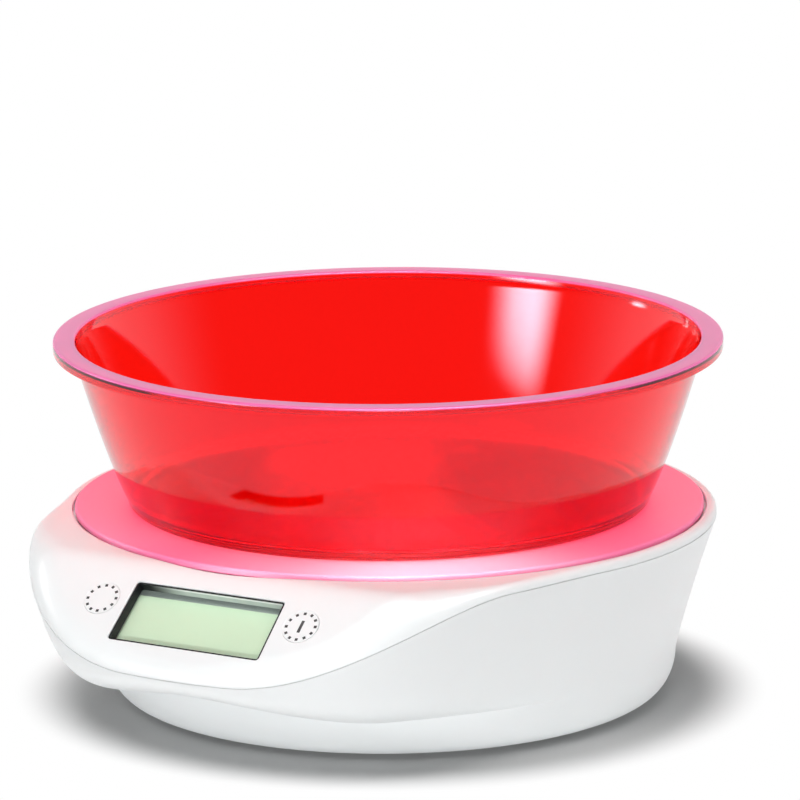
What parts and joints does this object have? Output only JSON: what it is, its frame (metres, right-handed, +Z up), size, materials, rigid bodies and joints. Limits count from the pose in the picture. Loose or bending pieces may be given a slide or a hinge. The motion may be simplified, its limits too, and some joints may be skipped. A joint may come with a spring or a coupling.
{
  "type": "kitchen scale with bowl",
  "caption": "Round electronic kitchen scale with a sloping display brow, a sinking weighing platform, two keys, a battery door and a clear mixing bowl that lifts off.",
  "frame": {"origin": "middle of the whole object's footprint, on the table under the feet", "axes": "+Z up, -Y towards the display at the front, +X to the right"},
  "size_m": [0.212, 0.237, 0.1155],
  "materials": {
    "white_shell": "gloss",
    "foot_rubber": "matte",
    "zinc_steel": "satin",
    "cell_sleeve": "gloss",
    "nickel_contacts": "satin",
    "lead_sheath": "satin",
    "lead_screen": "satin",
    "load_cell_alloy": "satin",
    "sealant": "matte",
    "plated_plate": "satin",
    "pink_platform": "gloss",
    "red_bowl": "gloss",
    "board_laminate": "satin",
    "black_resin": "satin",
    "socket_plastic": "satin",
    "lcd_glass": "gloss",
    "lcd_film": "gloss",
    "dark_frame": "satin",
    "strip_rubber": "matte",
    "clear_window": "gloss",
    "key_plastic": "gloss",
    "switch_body": "satin"
  },
  "bodies": {
    "housing": {"lower_housing": "white_shell", "upper_cover": "white_shell", "rubber_feet": "foot_rubber", "housing_screws": "zinc_steel", "battery_cells": "cell_sleeve", "contact_springs": "nickel_contacts", "contact_plates": "nickel_contacts", "battery_leads": "lead_sheath", "load_cell": "load_cell_alloy", "gauge_potting": "sealant", "cell_base_spacer": "load_cell_alloy", "cell_base_screws": "zinc_steel", "cell_lead": "lead_screen", "main_board": "board_laminate", "board_screws": "zinc_steel", "chip_potting": "black_resin", "board_capacitors": "black_resin", "clock_crystal": "zinc_steel", "lead_sockets": "socket_plastic", "lcd_glass": "lcd_glass", "lcd_polariser": "lcd_film", "lcd_frame": "dark_frame", "lcd_contact_strips": "strip_rubber", "display_window": "clear_window", "unit_switch": "switch_body", "tare_switch": "switch_body"},
    "platform": {"platform_plate": "pink_platform", "platform_carrier": "plated_plate", "carrier_screws": "zinc_steel", "cell_top_spacer": "load_cell_alloy", "cell_top_screws": "zinc_steel"},
    "bowl": {"bowl": "red_bowl"},
    "unit_key": {"unit_button": "key_plastic", "unit_plunger": "dark_frame"},
    "tare_key": {"tare_button": "key_plastic", "tare_plunger": "dark_frame"},
    "battery_door": {"battery_door": "white_shell"}
  },
  "joints": [
    {"name": "platform_sink", "type": "slide", "parent": "housing", "child": "platform", "axis": [0, 0, 1], "range_m": [-0.0006, 0], "stiffness_N_per_m": 82000, "deforming": ["load_cell"]},
    {"name": "bowl_lift", "type": "slide", "parent": "platform", "child": "bowl", "axis": [0, 0, 1], "range_m": [0, 0.12]},
    {"name": "unit_press", "type": "slide", "parent": "housing", "child": "unit_key", "axis": [0, 0.6293, -0.7771], "range_m": [0, 0.0006], "stiffness_N_per_m": 4000},
    {"name": "tare_press", "type": "slide", "parent": "housing", "child": "tare_key", "axis": [0, 0.6293, -0.7771], "range_m": [0, 0.0006], "stiffness_N_per_m": 4000},
    {"name": "door_swing", "type": "hinge", "parent": "housing", "child": "battery_door", "pos_m": [0, 0.0365, 0.003], "axis": [-1, 0, 0], "range_deg": [0, 70]}
  ]
}
